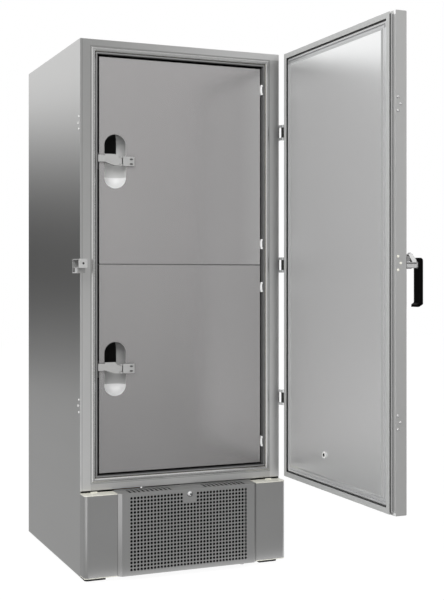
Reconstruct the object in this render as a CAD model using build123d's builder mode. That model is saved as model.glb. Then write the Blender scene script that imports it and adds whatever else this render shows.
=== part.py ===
from build123d import *
import math
import os

# An upright ultra low temperature freezer: an insulated stainless cabinet with two inner doors,
# an outer door that stands open at a right angle, and a machine space behind a perforated plinth.
# Millimetres. The origin is on the floor below the middle of the cabinet's front face:
# +X to the right, +Y towards the back, +Z up.

os.makedirs("parts", exist_ok=True)

# Cabinet
WIDTH = 810.0
DEPTH = 810.0
TOP = 1995.0
FOOT = 15.0
SHEET = 2.0
HALF = WIDTH / 2
INSIDE = HALF - SHEET
FRAME_BOTTOM = 329.0

# Front frame: a flat margin, then a raised bead, then the dark throat of the opening
BEAD_HALF = 361.5
BEAD_TOP = 1967.0
BEAD_BOTTOM = 358.0
BEAD_WIDTH = 14.5
BEAD_HEIGHT = 4.0
THROAT_HALF = BEAD_HALF - BEAD_WIDTH
THROAT_TOP = BEAD_TOP - BEAD_WIDTH
THROAT_BOTTOM = BEAD_BOTTOM + BEAD_WIDTH
TRIM_THICK = 10.0
TRIM_FRONT = 3.0
LEDGE = 72.0

# Cold chamber
CHAMBER_HALF = 305.0
CHAMBER_BOTTOM = 400.0
CHAMBER_TOP = 1915.0
CHAMBER_BACK = 700.0
LINER = 1.5
COIL_RADIUS = 6.0
SHELF_LEVELS = {"shelf_lower": 775.0, "shelf_middle": 1152.0, "shelf_upper": 1535.0}
SHELF_HALF = 297.0
SHELF_FRONT = 95.0
SHELF_BACK = 690.0
SHELF_THICK = 3.0
SHELF_LIP = 18.0
PILASTER_THICK = 4.0
PILASTER_WIDTH = 18.0
PILASTER_SPOTS = (150.0, 600.0)

# Inner doors
INNER_HALF = 329.4
INNER_FRONT = 12.4
INNER_THICK = 55.0
INNER_SKIN = 1.5
INNER_SPANS = {"upper": (1166.0, 1935.0), "lower": (388.0, 1162.0)}
INNER_HINGES = {"upper": (1246.0, 1852.0), "lower": (471.0, 1077.0)}
INNER_AXIS = (333.2, 8.4)
INNER_KNUCKLE = 3.6
INNER_PIN = 1.5
INNER_HINGE_TALL = 39.0
INNER_EAR = 7.0
DISH_X = -267.0
DISH_RADIUS = 42.5
DISH_TALL = 202.0
DISH_LEVELS = {"upper": 1548.0, "lower": 774.0}

# Inner door latches, measured from the dish's middle
LATCH_AXIS = (-247.0, 6.0)
LATCH_KNUCKLE = 5.0
LATCH_PIN = 2.0
LATCH_TIP = -335.4

# Outer door, open: its inside looks towards -X
DOOR_FACE = 405.0
PAN_BACK = 425.5
PAN_FRONT = 470.0
PAN_HINGE_SIDE = -39.5
PAN_FREE_SIDE = -831.5
PAN_BOTTOM = 332.0
PAN_TOP = TOP
PAN_SHEET = 1.5
GASKET_INSET = 6.5
GASKET_WIDTH = 19.0
GROOVE_WIDTH = 6.0
RIM_FACE = 410.0
RIM_LOW = 414.0
RIM_BANDS = (6.5, 5.5, 7.0)
PANEL_FACE = 405.5
PANEL_SLOPE = 8.0
SHEET_FACE = 424.0
SHEET_INSET = 11.0
HINGE_AXIS = (420.0, -15.5)
HINGE_LEVELS = (642.0, 1164.0, 1686.0)
HINGE_TALL = 60.0
HINGE_EAR = 10.0
HINGE_KNUCKLE = 11.0
HINGE_PIN = 5.0

# Handle on the free side of the outer door
HANDLE_LEVEL = 1156.5
HANDLE_PIVOT_X = 500.0
HANDLE_Y = -813.0
HANDLE_PIN = 4.0

# Plinth
PLINTH_BOTTOM = 18.5
PLINTH_TOP = 322.0
CHEEK_FRONT = -57.0
CHEEK_INNER = 279.5
GRILLE_FRONT = -69.5
GRILLE_FLAT = 266.0
GRILLE_GAP = 1.0
GRILLE_SHEET = 2.0
GRILLE_AXIS = (-45.0, 40.0)
GRILLE_PIN = 4.0
HOLE_PITCH = 13.15
HOLE_COLUMNS = 36
HOLE_ROWS = 21
HOLE_RADIUS = 4.3
HOLE_FIRST_LEVEL = 40.0
LOCK_LEVEL = 303.0
LOCK_RADIUS = 11.0

# Machine space
FAN_SPOT = (-60.0, 172.0)
FAN_RADIUS = 106.0
FAN_SHAFT = 4.0

# Clearances
RUNNING = 0.05
AXIAL = 0.25


def front_plane(y):
    """A plane that faces the viewer: its own x is X and its own y is Z."""
    return Plane((0, y, 0), x_dir=(1, 0, 0), z_dir=(0, -1, 0))


def side_plane(x):
    """A plane that faces +X: its own x is Y and its own y is Z."""
    return Plane((x, 0, 0), x_dir=(0, 1, 0), z_dir=(1, 0, 0))


def block(low, high, mode=Mode.ADD):
    """A box between two corners, in the part that is being built."""
    middle = [(a + b) / 2 for a, b in zip(low, high)]
    with Locations(tuple(middle)):
        Box(*[b - a for a, b in zip(low, high)], mode=mode)


def pillar(spot, radius, bottom, top, mode=Mode.ADD):
    """An upright cylinder between two levels, in the part that is being built."""
    with Locations((spot[0], spot[1], (bottom + top) / 2)):
        Cylinder(radius, top - bottom, mode=mode)


def boxes(corner_pairs):
    """Separate boxes that may touch, each its own solid."""
    solids = []
    for low, high in corner_pairs:
        with BuildPart() as piece:
            block(low, high)
        solids.append(piece.part)
    return solids


def save(builder, name):
    """Labels a finished piece and writes it."""
    builder.part.label = name
    export_step(builder.part, f"parts/{name}.step")


def save_group(solids, name):
    """Writes several touching solids as one node."""
    export_step(Compound(label=name, children=solids), f"parts/{name}.step")


# Outer skin: flat sheets behind the front frame
with BuildPart() as left_side_panel:
    block((-HALF, SHEET, FOOT), (-INSIDE, DEPTH, TOP))
save(left_side_panel, "left_side_panel")

with BuildPart() as right_side_panel:
    block((INSIDE, SHEET, FOOT), (HALF, DEPTH, TOP))
save(right_side_panel, "right_side_panel")

with BuildPart() as top_panel:
    block((-INSIDE, SHEET, TOP - SHEET), (INSIDE, DEPTH, TOP))
save(top_panel, "top_panel")

# The back sheet lets the condenser's warm air out through upright slots
VENT_SLOTS = 18
with BuildPart() as back_panel:
    block((-INSIDE, DEPTH - SHEET, FOOT), (INSIDE, DEPTH, TOP - SHEET))
    with BuildSketch(front_plane(DEPTH)):
        with Locations((-60, 190)):
            with GridLocations(26, 0, VENT_SLOTS, 1):
                SlotOverall(150, 9, rotation=90)
    extrude(amount=SHEET, mode=Mode.SUBTRACT)
save(back_panel, "back_panel")

# Front frame: two upright stiles over the full height, with the two rails between them
frame_strips = [
    ((-HALF, 0, FRAME_BOTTOM), (-BEAD_HALF, SHEET, TOP)),
    ((BEAD_HALF, 0, FRAME_BOTTOM), (HALF, SHEET, TOP)),
    ((-BEAD_HALF, 0, FRAME_BOTTOM), (BEAD_HALF, SHEET, BEAD_BOTTOM)),
    ((-BEAD_HALF, 0, BEAD_TOP), (BEAD_HALF, SHEET, TOP)),
]
save_group(boxes(frame_strips), "front_frame")

# The raised bead round the opening, with sloped sides
with BuildPart() as frame_bead:
    with BuildSketch(front_plane(SHEET)):
        with Locations((0, (BEAD_TOP + BEAD_BOTTOM) / 2)):
            Rectangle(2 * BEAD_HALF, BEAD_TOP - BEAD_BOTTOM)
            Rectangle(2 * THROAT_HALF, THROAT_TOP - THROAT_BOTTOM, mode=Mode.SUBTRACT)
    extrude(amount=SHEET + BEAD_HEIGHT)
    bead_front = frame_bead.faces().sort_by(Axis.Y)[0]
    chamfer(bead_front.edges(), BEAD_HEIGHT)
save(frame_bead, "frame_bead")

# The dark trim that lines the throat, from the bead back to the ledge that the inner doors shut on
TRIM_HALF = THROAT_HALF - TRIM_THICK
trim_strips = [
    ((-THROAT_HALF, TRIM_FRONT, THROAT_BOTTOM), (-TRIM_HALF, LEDGE, THROAT_TOP)),
    ((TRIM_HALF, TRIM_FRONT, THROAT_BOTTOM), (THROAT_HALF, LEDGE, THROAT_TOP)),
    ((-TRIM_HALF, TRIM_FRONT, THROAT_BOTTOM), (TRIM_HALF, LEDGE, THROAT_BOTTOM + TRIM_THICK)),
    ((-TRIM_HALF, TRIM_FRONT, THROAT_TOP - TRIM_THICK), (TRIM_HALF, LEDGE, THROAT_TOP)),
]
save_group(boxes(trim_strips), "throat_trim")

# Foam: five boards round the chamber and four fillers behind the front frame
FOAM_HALF = CHAMBER_HALF + LINER
FOAM_LOW = CHAMBER_BOTTOM - LINER
FOAM_HIGH = CHAMBER_TOP + LINER
FOAM_BACK = CHAMBER_BACK + LINER + 2 * COIL_RADIUS
BACK_INSIDE = DEPTH - SHEET
ROOF = TOP - SHEET
foam_boards = [
    ((-INSIDE, LEDGE, FRAME_BOTTOM), (INSIDE, BACK_INSIDE, FOAM_LOW)),
    ((-INSIDE, LEDGE, FOAM_HIGH), (INSIDE, BACK_INSIDE, ROOF)),
    ((-INSIDE, LEDGE, FOAM_LOW), (-FOAM_HALF, BACK_INSIDE, FOAM_HIGH)),
    ((FOAM_HALF, LEDGE, FOAM_LOW), (INSIDE, BACK_INSIDE, FOAM_HIGH)),
    ((-FOAM_HALF, FOAM_BACK, FOAM_LOW), (FOAM_HALF, BACK_INSIDE, FOAM_HIGH)),
    ((-INSIDE, SHEET, FRAME_BOTTOM), (-THROAT_HALF, LEDGE, ROOF)),
    ((THROAT_HALF, SHEET, FRAME_BOTTOM), (INSIDE, LEDGE, ROOF)),
    ((-THROAT_HALF, SHEET, FRAME_BOTTOM), (THROAT_HALF, LEDGE, THROAT_BOTTOM)),
    ((-THROAT_HALF, SHEET, THROAT_TOP), (THROAT_HALF, LEDGE, ROOF)),
]
save_group(boxes(foam_boards), "insulation")

# Chamber liner: side sheets, floor and ceiling, and the back sheet
liner_sheets = [
    ((-FOAM_HALF, LEDGE, FOAM_LOW), (-CHAMBER_HALF, CHAMBER_BACK, FOAM_HIGH)),
    ((CHAMBER_HALF, LEDGE, FOAM_LOW), (FOAM_HALF, CHAMBER_BACK, FOAM_HIGH)),
    ((-CHAMBER_HALF, LEDGE, FOAM_LOW), (CHAMBER_HALF, CHAMBER_BACK, CHAMBER_BOTTOM)),
    ((-CHAMBER_HALF, LEDGE, CHAMBER_TOP), (CHAMBER_HALF, CHAMBER_BACK, FOAM_HIGH)),
    ((-FOAM_HALF, CHAMBER_BACK, FOAM_LOW), (FOAM_HALF, CHAMBER_BACK + LINER, FOAM_HIGH)),
]
save_group(boxes(liner_sheets), "chamber_liner")

# The evaporator: one tube that runs to and fro behind the back sheet, in the foam's slot
COIL_HALF = 250.0
COIL_RUNS = 9
COIL_PITCH = 170.0
coil_y = CHAMBER_BACK + LINER + COIL_RADIUS
coil_points = []
for run in range(COIL_RUNS):
    level = 470.0 + COIL_PITCH * run
    way = 1 if run % 2 == 0 else -1
    coil_points += [(-way * COIL_HALF, coil_y, level), (way * COIL_HALF, coil_y, level)]
with BuildPart() as evaporator_coil:
    with BuildLine() as coil_path:
        FilletPolyline(*coil_points, radius=70)
    with BuildSketch(coil_path.line ^ 0):
        Circle(COIL_RADIUS - 0.01)
    sweep(path=coil_path.line)
save(evaporator_coil, "evaporator_coil")

# Shelves: a flat sheet behind a lip that is turned down along its front
for shelf_name, level in SHELF_LEVELS.items():
    top = level + SHELF_THICK
    shelf_sheets = [
        ((-SHELF_HALF, SHELF_FRONT, level), (SHELF_HALF, SHELF_BACK, top)),
        ((-SHELF_HALF, SHELF_FRONT - SHELF_THICK, level - SHELF_LIP), (SHELF_HALF, SHELF_FRONT, top)),
    ]
    save_group(boxes(shelf_sheets), shelf_name)

# Slotted uprights on the side walls, and the clips that hold the shelves on them
PILASTER_SLOTS = 28
with BuildPart() as shelf_pilasters:
    for side in (-1, 1):
        near, far = sorted((side * (CHAMBER_HALF - PILASTER_THICK), side * CHAMBER_HALF))
        for spot in PILASTER_SPOTS:
            block((near, spot, 430), (far, spot + PILASTER_WIDTH, 1885))
    with BuildSketch(side_plane(-CHAMBER_HALF)):
        for spot in PILASTER_SPOTS:
            with Locations((spot + PILASTER_WIDTH / 2, (430 + 1885) / 2)):
                with GridLocations(0, 50, 1, PILASTER_SLOTS):
                    Rectangle(6, 16)
    extrude(amount=2 * CHAMBER_HALF, mode=Mode.SUBTRACT)

CLIP_DROP = 12.0
CLIP_REACH = 16.0
with BuildPart() as shelf_clips:
    for level in SHELF_LEVELS.values():
        for side in (-1, 1):
            wall = CHAMBER_HALF - PILASTER_THICK
            near, far = sorted((side * (wall - CLIP_REACH), side * wall))
            for spot in PILASTER_SPOTS:
                block((near, spot + 2, level - CLIP_DROP), (far, spot + PILASTER_WIDTH - 2, level))
save_group(shelf_pilasters.part.solids() + shelf_clips.part.solids(), "shelf_supports")

# Base pan under the machine space
with BuildPart() as base_pan:
    block((-INSIDE, SHEET, FOOT), (INSIDE, BACK_INSIDE, FOOT + SHEET))
save(base_pan, "base_pan")
PAN_FLOOR = FOOT + SHEET

# Two hermetic compressors on rubber mounts
GROMMET_TALL = 20.0
GROMMET_RADIUS = 14.0
SHELL_RADIUS = 88.0
SHELL_TALL = 195.0
COMPRESSOR_SPOTS = {"compressor_high_stage": (-190.0, 520.0), "compressor_low_stage": (110.0, 520.0)}
PLATE_LEVEL = PAN_FLOOR + GROMMET_TALL
for compressor_name, spot in COMPRESSOR_SPOTS.items():
    with BuildPart() as compressor:
        with BuildSketch(Plane(spot + (0,), x_dir=(1, 0, 0), z_dir=(0, -1, 0))):
            with BuildLine():
                low = PLATE_LEVEL + 4
                high = low + SHELL_TALL
                Polyline((0, low), (SHELL_RADIUS - 20, low))
                RadiusArc((SHELL_RADIUS - 20, low), (SHELL_RADIUS, low + 20), -20)
                Line((SHELL_RADIUS, low + 20), (SHELL_RADIUS, high - 45))
                RadiusArc((SHELL_RADIUS, high - 45), (SHELL_RADIUS - 45, high), -45)
                Polyline((SHELL_RADIUS - 45, high), (0, high), (0, low))
            make_face()
        revolve(axis=Axis(spot + (0,), (0, 0, 1)))
        block((spot[0] - 120, spot[1] - 100, PLATE_LEVEL), (spot[0] + 120, spot[1] + 100, low))
        block((spot[0] - 30, spot[1] - SHELL_RADIUS - 22, 110), (spot[0] + 30, spot[1] - 60, 175))
        for shift in (-30, 30):
            pillar((spot[0] + shift, spot[1] + 20), 6, high - 30, high + 28)
    save(compressor, compressor_name)

with BuildPart() as compressor_mounts:
    for spot in COMPRESSOR_SPOTS.values():
        for dx in (-100, 100):
            for dy in (-80, 80):
                pillar((spot[0] + dx, spot[1] + dy), GROMMET_RADIUS, PAN_FLOOR, PLATE_LEVEL)
save(compressor_mounts, "compressor_mounts")

# Air filter pad, then the condenser's fins and tubes, then the fan with its shroud and motor
with BuildPart() as air_filter:
    block((-262, 4, PAN_FLOOR), (262, 15, 312))
save(air_filter, "air_filter")

FIN_COUNT = 34
FIN_PITCH = 12.0
CONDENSER_BACK = 72.0
TUBE_LEVELS = (70, 110, 150, 190, 230, 270)
with BuildPart() as condenser:
    with Locations(*[(FAN_SPOT[0], 44, level) for level in TUBE_LEVELS]):
        Cylinder(5, FIN_COUNT * FIN_PITCH, rotation=(0, 90, 0))
    with Locations((FAN_SPOT[0], (18 + CONDENSER_BACK) / 2, (PAN_FLOOR + 310) / 2)):
        with GridLocations(FIN_PITCH, 0, FIN_COUNT, 1):
            Box(1.5, CONDENSER_BACK - 18, 310 - PAN_FLOOR)
save(condenser, "condenser")

SHROUD_BACK = 110.0
with BuildPart() as fan_shroud:
    block((FAN_SPOT[0] - 204, CONDENSER_BACK, PAN_FLOOR), (FAN_SPOT[0] + 204, CONDENSER_BACK + 3, 310))
    with Locations((FAN_SPOT[0], (CONDENSER_BACK + SHROUD_BACK) / 2, FAN_SPOT[1])):
        Cylinder(FAN_RADIUS + 10, SHROUD_BACK - CONDENSER_BACK, rotation=(90, 0, 0))
        Cylinder(FAN_RADIUS + 7, SHROUD_BACK - CONDENSER_BACK, rotation=(90, 0, 0), mode=Mode.SUBTRACT)
save(fan_shroud, "fan_shroud")

MOTOR_FRONT = 118.0
with BuildPart() as fan_motor:
    with Locations((FAN_SPOT[0], MOTOR_FRONT + 32, FAN_SPOT[1])):
        Cylinder(38, 64, rotation=(90, 0, 0))
    with Locations((FAN_SPOT[0], MOTOR_FRONT - 17, FAN_SPOT[1])):
        Cylinder(FAN_SHAFT, 34, rotation=(90, 0, 0))
    block((FAN_SPOT[0] - 12, MOTOR_FRONT + 10, PAN_FLOOR), (FAN_SPOT[0] + 12, MOTOR_FRONT + 50, FAN_SPOT[1]))
save(fan_motor, "fan_motor")

BLADE_COUNT = 5
BLADE_PITCH = 28.0
with BuildPart() as fan_rotor:
    with Locations((FAN_SPOT[0], 95, FAN_SPOT[1])):
        Cylinder(28, 26, rotation=(90, 0, 0))
    for n in range(BLADE_COUNT):
        turn = 2 * math.pi * n / BLADE_COUNT
        out = Vector(math.cos(turn), 0, math.sin(turn))
        across = Vector(-math.sin(turn), 0, math.cos(turn))
        lean = math.radians(BLADE_PITCH)
        chord = across * math.cos(lean) + Vector(0, 1, 0) * math.sin(lean)
        middle = Vector(FAN_SPOT[0], 95, FAN_SPOT[1]) + out * 24
        with BuildSketch(Plane(middle, x_dir=chord, z_dir=out)):
            Rectangle(46, 2.5)
        extrude(amount=FAN_RADIUS - 26)
    with Locations((FAN_SPOT[0], 95, FAN_SPOT[1])):
        Cylinder(FAN_SHAFT + RUNNING, 40, rotation=(90, 0, 0), mode=Mode.SUBTRACT)
save(fan_rotor, "fan_rotor")

# The plate exchanger between the two stages, the box of electrics, and the mains gland at the back
with BuildPart() as cascade_exchanger:
    block((-60, 700, PAN_FLOOR), (60, 760, 260))
    for x in (-38, 38):
        for level in (60, 225):
            with Locations((x, 690, level)):
                Cylinder(8, 24, rotation=(90, 0, 0))
save(cascade_exchanger, "cascade_exchanger")

with BuildPart() as electrical_box:
    block((235, 110, PAN_FLOOR), (395, 330, 295))
    box_top = electrical_box.edges().filter_by(Axis.Z)
    fillet(box_top, 6)
    block((241, 104, 40), (389, 110, 285))
save(electrical_box, "electrical_box")

INLET_SPOT = (310.0, 120.0)
with BuildPart() as power_inlet:
    x, z = INLET_SPOT
    block((x - 36, DEPTH, z - 24), (x + 36, DEPTH + 3, z + 24))
    with BuildSketch(front_plane(DEPTH + 3)):
        with Locations(INLET_SPOT):
            RegularPolygon(15, 6)
    extrude(amount=-9)
    with BuildSketch(front_plane(DEPTH + 12)):
        with Locations(INLET_SPOT):
            Circle(11)
    extrude(amount=-12)
    fillet(power_inlet.faces().sort_by(Axis.Y)[-1].edges(), 4)
save(power_inlet, "power_inlet")

# Feet: broad pads at the front corners, round ones at the back
PAD_OUTER = 390.0
PAD_INNER = 312.0
PAD_FRONT = -14.0
with BuildPart() as feet:
    for side in (-1, 1):
        near, far = sorted((side * PAD_INNER, side * PAD_OUTER))
        block((near, PAD_FRONT, 0), (far, 66, FOOT))
        fillet(feet.edges().filter_by(Axis.Z).group_by(Axis.X)[0 if side < 0 else -1], 12)
        pillar((side * 340, 745), 32, 0, FOOT)
save(feet, "feet")

# Plinth cheeks: hollow corner blocks with a bore for the grille's pin
CAP_THICK = 3.0
CHEEK_WALL = 4.0
CHEEK_ROUND = 14.0
CHEEK_LOW = PLINTH_BOTTOM + CAP_THICK
CHEEK_HIGH = PLINTH_TOP - CAP_THICK
BOSS_DEEP = 12.0
for side, cheek_name in ((-1, "plinth_cheek_left"), (1, "plinth_cheek_right")):
    near, far = sorted((side * CHEEK_INNER, side * HALF))
    with BuildPart() as cheek:
        block((near, CHEEK_FRONT, CHEEK_LOW), (far, SHEET, CHEEK_HIGH))
        outer_edge = cheek.edges().filter_by(Axis.Z).sort_by(Axis.Y)[0:2].sort_by(Axis.X)
        fillet(outer_edge[0 if side < 0 else -1], CHEEK_ROUND)
        block(
            (near + CHEEK_WALL, CHEEK_FRONT + CHEEK_WALL, CHEEK_LOW + CHEEK_WALL),
            (far - CHEEK_WALL, SHEET, CHEEK_HIGH - CHEEK_WALL),
            mode=Mode.SUBTRACT,
        )
        with BuildSketch(side_plane(side * CHEEK_INNER)):
            with Locations(GRILLE_AXIS):
                Circle(10)
        extrude(amount=side * BOSS_DEEP)
        with BuildSketch(side_plane(side * CHEEK_INNER)):
            with Locations(GRILLE_AXIS):
                Circle(GRILLE_PIN + RUNNING)
        extrude(amount=side * (BOSS_DEEP - 2), mode=Mode.SUBTRACT)
    save(cheek, cheek_name)

# Caps above and below the cheeks, with a small lug at the back of each upper one
LUG_X = 355.0
with BuildPart() as cheek_caps:
    for side in (-1, 1):
        near, far = sorted((side * CHEEK_INNER, side * HALF))
        for low in (PLINTH_BOTTOM, CHEEK_HIGH):
            with BuildSketch(Plane.XY.offset(low)) as cap_outline:
                with Locations(((near + far) / 2, (CHEEK_FRONT + SHEET) / 2)):
                    Rectangle(far - near, SHEET - CHEEK_FRONT)
                corners = cap_outline.vertices().group_by(Axis.Y)[0].sort_by(Axis.X)
                fillet(corners[0 if side < 0 else -1], CHEEK_ROUND)
            extrude(amount=CAP_THICK)
        block((side * LUG_X - 12, -12, PLINTH_TOP), (side * LUG_X + 12, -4, PLINTH_TOP + 4))
save(cheek_caps, "cheek_caps")

# Plinth grille: a bent sheet with a perforated front, a slotted top and a pin at each lower end
GRILLE_HALF = CHEEK_INNER - GRILLE_GAP
BOTTOM_RETURN = -36.0
TOP_RETURN = -4.0
SLOT_PITCH = 17.5
SLOT_GROUP = 10
SLOT_GROUP_X = 150.0
FLANGE_REACH = 24.0
with BuildPart() as plinth_grille:
    # front sheet with its two sloped ends, drawn in plan
    with BuildSketch(Plane.XY.offset(PLINTH_BOTTOM)):
        with BuildLine():
            front = [
                (-GRILLE_HALF, CHEEK_FRONT),
                (-GRILLE_FLAT, GRILLE_FRONT),
                (GRILLE_FLAT, GRILLE_FRONT),
                (GRILLE_HALF, CHEEK_FRONT),
            ]
            back = [
                (GRILLE_HALF, CHEEK_FRONT + FLANGE_REACH),
                (GRILLE_HALF - GRILLE_SHEET, CHEEK_FRONT + FLANGE_REACH),
                (GRILLE_HALF - GRILLE_SHEET, CHEEK_FRONT + GRILLE_SHEET / 2),
                (GRILLE_FLAT - GRILLE_SHEET / 2, GRILLE_FRONT + GRILLE_SHEET),
            ]
            mirrored = [(-x, y) for x, y in reversed(back)]
            Polyline(*front, *back, *mirrored, close=True)
        make_face()
    extrude(amount=PLINTH_TOP - PLINTH_BOTTOM)
    # top and bottom sheets
    for low, reach in ((PLINTH_TOP - GRILLE_SHEET, TOP_RETURN), (PLINTH_BOTTOM, BOTTOM_RETURN)):
        with BuildSketch(Plane.XY.offset(low)):
            with BuildLine():
                Polyline(*front, (GRILLE_HALF, reach), (-GRILLE_HALF, reach), close=True)
            make_face()
        extrude(amount=GRILLE_SHEET)
    # an upturned edge at the back of the top, and a stop button below
    block((-GRILLE_HALF, TOP_RETURN - GRILLE_SHEET, PLINTH_TOP), (GRILLE_HALF, TOP_RETURN, PLINTH_TOP + 5))
    pillar((223, -50), 7, PLINTH_BOTTOM - 6, PLINTH_BOTTOM)
    # vent slots in the top
    with BuildSketch(Plane.XY.offset(PLINTH_TOP)):
        for side in (-1, 1):
            with Locations((side * SLOT_GROUP_X, (GRILLE_FRONT + TOP_RETURN) / 2 + 4)):
                with GridLocations(SLOT_PITCH, 0, SLOT_GROUP, 1):
                    SlotOverall(42, 8, rotation=90)
    extrude(amount=-GRILLE_SHEET, mode=Mode.SUBTRACT)
    # square pattern of round holes, left out round the lock
    hole_spots = []
    for column in range(HOLE_COLUMNS):
        x = (column - (HOLE_COLUMNS - 1) / 2) * HOLE_PITCH
        for row in range(HOLE_ROWS):
            near_lock = row >= HOLE_ROWS - 3 and abs(x) < 2 * HOLE_PITCH
            if not near_lock:
                hole_spots.append((x, HOLE_FIRST_LEVEL + row * HOLE_PITCH))
    with BuildSketch(front_plane(GRILLE_FRONT)):
        with Locations(*hole_spots):
            Circle(HOLE_RADIUS)
        with Locations((0, LOCK_LEVEL)):
            Circle(LOCK_RADIUS + RUNNING)
    extrude(amount=-GRILLE_SHEET, mode=Mode.SUBTRACT)
    # pins that turn in the cheeks
    for side in (-1, 1):
        with BuildSketch(side_plane(side * (GRILLE_HALF - GRILLE_SHEET))):
            with Locations(GRILLE_AXIS):
                Circle(GRILLE_PIN)
        extrude(amount=side * (GRILLE_SHEET + GRILLE_GAP + 8))
save(plinth_grille, "plinth_grille")

# Lock: a round barrel with a key slot, and a cam behind the sheet
with BuildPart() as lock_barrel:
    with BuildSketch(front_plane(GRILLE_FRONT + 20)):
        with Locations((0, LOCK_LEVEL)):
            Circle(LOCK_RADIUS)
    extrude(amount=25)
    with BuildSketch(front_plane(GRILLE_FRONT - 5)):
        with Locations((0, LOCK_LEVEL)):
            Rectangle(2.4, 11)
    extrude(amount=-4, mode=Mode.SUBTRACT)
    block((-7, GRILLE_FRONT + 14, LOCK_LEVEL - 34), (7, GRILLE_FRONT + 17, LOCK_LEVEL))
save(lock_barrel, "lock_barrel")

# Striker for the outer door's latch, on the left side: a pocketed box, a front plate and a lower tongue
STRIKER_OUT = -431.0
STRIKER_FRONT = -72.0
STRIKER_LOW = 1150.0
STRIKER_HIGH = 1183.0
STRIKER_FOOT = 1131.0
STRIKER_POCKET = -409.0
STRIKER_TONGUE = -18.0
with BuildPart() as striker:
    block((STRIKER_OUT, STRIKER_FRONT, STRIKER_LOW), (-HALF, 14, STRIKER_HIGH))
    block((-410, SHEET, STRIKER_FOOT), (-HALF, 44, STRIKER_HIGH))
    block((STRIKER_OUT + 1, -50, STRIKER_FOOT), (-HALF, 14, STRIKER_LOW))
    block((STRIKER_OUT, STRIKER_FRONT, STRIKER_LOW), (-398, STRIKER_FRONT + 4, STRIKER_HIGH))
    block((-HALF, -50, STRIKER_FOOT), (-400.5, -46, STRIKER_LOW))
    block(
        (STRIKER_OUT, STRIKER_FRONT + 4, STRIKER_LOW + 3),
        (STRIKER_POCKET, 11, STRIKER_HIGH - 4),
        mode=Mode.SUBTRACT,
    )
    block(
        (STRIKER_OUT, STRIKER_TONGUE, STRIKER_FOOT + 3),
        (STRIKER_POCKET, 11, STRIKER_HIGH - 4),
        mode=Mode.SUBTRACT,
    )
    with BuildSketch(front_plane(STRIKER_FRONT)):
        with Locations((-413, (STRIKER_LOW + STRIKER_HIGH) / 2)):
            Circle(4)
    extrude(amount=-3, mode=Mode.SUBTRACT)
save(striker, "striker")

# Domed plugs over the spare hinge holes on the left side
PLUG_RADIUS = 4.5
PLUG_TALL = 2.5
PLUG_PITCH = 23.0
PLUG_STEP = 10.0
with BuildPart() as side_plugs:
    for level in (HINGE_LEVELS[0], HINGE_LEVELS[2]):
        for n in (-1, 0, 1):
            with BuildSketch(side_plane(-HALF)):
                with Locations((16 if n else 16 + PLUG_STEP, level + n * PLUG_PITCH)):
                    Circle(PLUG_RADIUS)
            extrude(amount=-PLUG_TALL)
    fillet(side_plugs.faces().filter_by(Axis.X).group_by(Axis.X)[0].edges(), 1.6)
save(side_plugs, "side_plugs")

# Outer hinges, cabinet half: a side plate, two ears and the pin
with BuildPart() as hinge_cabinet_leaves:
    for level in HINGE_LEVELS:
        low = level - HINGE_TALL / 2
        high = level + HINGE_TALL / 2
        block((HALF, SHEET, low), (HALF + 3, 50, high))
        for bottom in (low, high - HINGE_EAR):
            with BuildSketch(Plane.XY.offset(bottom)):
                with Locations(HINGE_AXIS):
                    Circle(HINGE_KNUCKLE)
                with BuildLine():
                    Polyline(
                        (HALF, SHEET),
                        (HALF, 16),
                        (HALF + 3, 16),
                        (HINGE_AXIS[0] + 10, HINGE_AXIS[1] + 4),
                        (HINGE_AXIS[0] - 8, HINGE_AXIS[1] - 7),
                        (HALF + 1, -4),
                        close=True,
                    )
                make_face()
            extrude(amount=HINGE_EAR)
        pillar(HINGE_AXIS, HINGE_PIN, low, high)
save(hinge_cabinet_leaves, "hinge_cabinet_leaves")

# Outer hinges, door half: a barrel, an arm and a plate on the door's edge
with BuildPart() as hinge_door_leaves:
    for level in HINGE_LEVELS:
        low = level - HINGE_TALL / 2 + HINGE_EAR + AXIAL
        high = level + HINGE_TALL / 2 - HINGE_EAR - AXIAL
        pillar(HINGE_AXIS, HINGE_KNUCKLE, low, high)
        block((HINGE_AXIS[0] + 3, PAN_HINGE_SIDE, low), (HINGE_AXIS[0] + 11, HINGE_AXIS[1], high))
        block(
            (PAN_BACK + 2, PAN_HINGE_SIDE, level - HINGE_TALL / 2),
            (PAN_FRONT - 4, PAN_HINGE_SIDE + 3, level + HINGE_TALL / 2),
        )
        pillar(HINGE_AXIS, HINGE_PIN + RUNNING, low, high, mode=Mode.SUBTRACT)
save(hinge_door_leaves, "hinge_door_leaves")

# Outer door: a shallow pan of sheet with rounded outer edges and a narrow flange round its mouth
with BuildPart() as door_pan:
    block((PAN_BACK, PAN_FREE_SIDE, PAN_BOTTOM), (PAN_FRONT, PAN_HINGE_SIDE, PAN_TOP))
    fillet(door_pan.faces().sort_by(Axis.X)[-1].edges(), 5)
    block(
        (PAN_BACK + PAN_SHEET, PAN_FREE_SIDE + PAN_SHEET, PAN_BOTTOM + PAN_SHEET),
        (PAN_FRONT - PAN_SHEET, PAN_HINGE_SIDE - PAN_SHEET, PAN_TOP - PAN_SHEET),
        mode=Mode.SUBTRACT,
    )
    block(
        (PAN_BACK, PAN_FREE_SIDE + 30, PAN_BOTTOM + 30),
        (PAN_BACK + PAN_SHEET, PAN_HINGE_SIDE - 30, PAN_TOP - 30),
        mode=Mode.SUBTRACT,
    )
save(door_pan, "door_pan")

CORE_INSET = PAN_SHEET + 4.0
with BuildPart() as door_core:
    block(
        (PAN_BACK + PAN_SHEET, PAN_FREE_SIDE + CORE_INSET, PAN_BOTTOM + CORE_INSET),
        (PAN_FRONT - PAN_SHEET, PAN_HINGE_SIDE - CORE_INSET, PAN_TOP - CORE_INSET),
    )


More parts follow.
